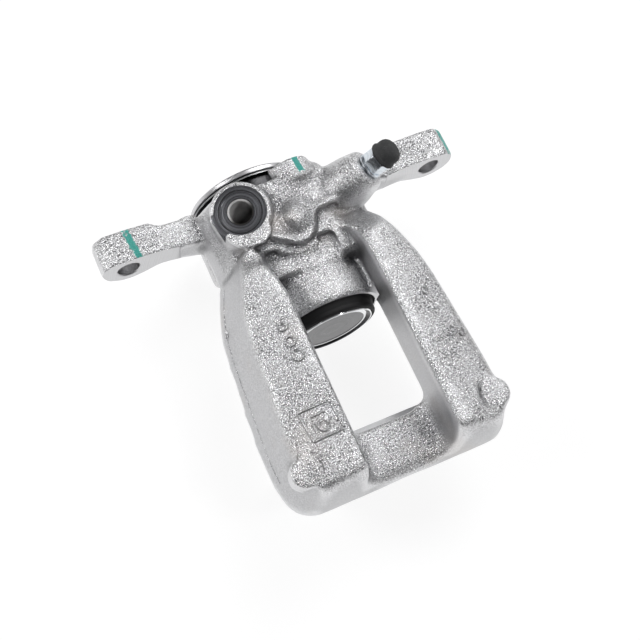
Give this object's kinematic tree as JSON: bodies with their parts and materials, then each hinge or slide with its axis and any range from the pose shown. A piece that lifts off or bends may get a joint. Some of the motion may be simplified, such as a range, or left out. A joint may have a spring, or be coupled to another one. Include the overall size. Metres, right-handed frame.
{
  "type": "brake caliper",
  "caption": "Floating rear brake caliper in cast aluminium with one chromed piston, a parking-brake spindle, two pin ears and a capped bleeder screw.",
  "frame": {"origin": "centre of the piston's dished outboard face, on the piston axis", "axes": "+Y along the piston axis towards the cylinder's closed inboard end, +X from the left pin ear to the right one, +Z radially out of the wheel through the bridge"},
  "size_m": [0.17, 0.1463, 0.0799],
  "materials": {
    "housing_cast": "shot-blasted casting with machined ear, port and flange faces",
    "piston_chrome": "ground and chromed",
    "seal_rubber": "moulded black rubber",
    "boot_rubber": "matte black moulded rubber",
    "spindle_steel": "turned steel",
    "bearing_steel": "ground bearing steel",
    "cage_plastic": "moulded nylon",
    "bush_bronze": "plain bearing bronze",
    "bleeder_zinc": "bluish zinc-plated steel",
    "cap_rubber": "dusty dark-grey rubber"
  },
  "bodies": {
    "housing_body": {"caliper_housing": "housing_cast", "piston_seal": "seal_rubber", "dust_boot": "boot_rubber", "thrust_washer_rear": "bearing_steel", "spindle_bush": "bush_bronze", "spindle_seal": "seal_rubber"},
    "piston_body": {"piston": "piston_chrome"},
    "spindle_body": {"parking_spindle": "spindle_steel", "thrust_washer_front": "bearing_steel", "spindle_spacer": "bearing_steel", "spindle_circlip": "spindle_steel"},
    "nut_body": {"spindle_nut": "spindle_steel"},
    "bearing_body": {"ball_cage": "cage_plastic", "thrust_ball_01": "bearing_steel", "thrust_ball_02": "bearing_steel", "thrust_ball_03": "bearing_steel", "thrust_ball_04": "bearing_steel", "thrust_ball_05": "bearing_steel", "thrust_ball_06": "bearing_steel", "thrust_ball_07": "bearing_steel", "thrust_ball_08": "bearing_steel", "thrust_ball_09": "bearing_steel", "thrust_ball_10": "bearing_steel"},
    "bleeder_body": {"bleeder_screw": "bleeder_zinc"},
    "cap_body": {"bleeder_cap": "cap_rubber"}
  },
  "joints": [
    {"name": "piston_slide", "type": "slide", "parent": "housing_body", "child": "piston_body", "axis": [0, -1, 0], "range_m": [0, 0.012]},
    {"name": "spindle_spin", "type": "hinge", "parent": "housing_body", "child": "spindle_body", "pos_m": [0, 0.06, 0], "axis": [0, 1, 0], "range_deg": [0, 1800]},
    {"name": "nut_slide", "type": "slide", "parent": "housing_body", "child": "nut_body", "axis": [0, -1, 0], "range_m": [0, 0.0075]},
    {"name": "bearing_spin", "type": "hinge", "parent": "housing_body", "child": "bearing_body", "pos_m": [0, 0.056, 0], "axis": [0, 1, 0], "range_deg": [0, 900]},
    {"name": "bleeder_turn", "type": "hinge", "parent": "housing_body", "child": "bleeder_body", "pos_m": [0.0362, 0.0523, 0.034], "axis": [0.6691, 0, 0.7431], "range_deg": [0, 270]},
    {"name": "cap_pull", "type": "slide", "parent": "bleeder_body", "child": "cap_body", "axis": [0.6691, 0, 0.7431], "range_m": [0, 0.02]}
  ],
  "couplings": [
    {"joint": "spindle_spin", "follows": "nut_slide", "rad_per_m": 4188.8},
    {"joint": "bearing_spin", "follows": "nut_slide", "rad_per_m": 2094.4}
  ]
}
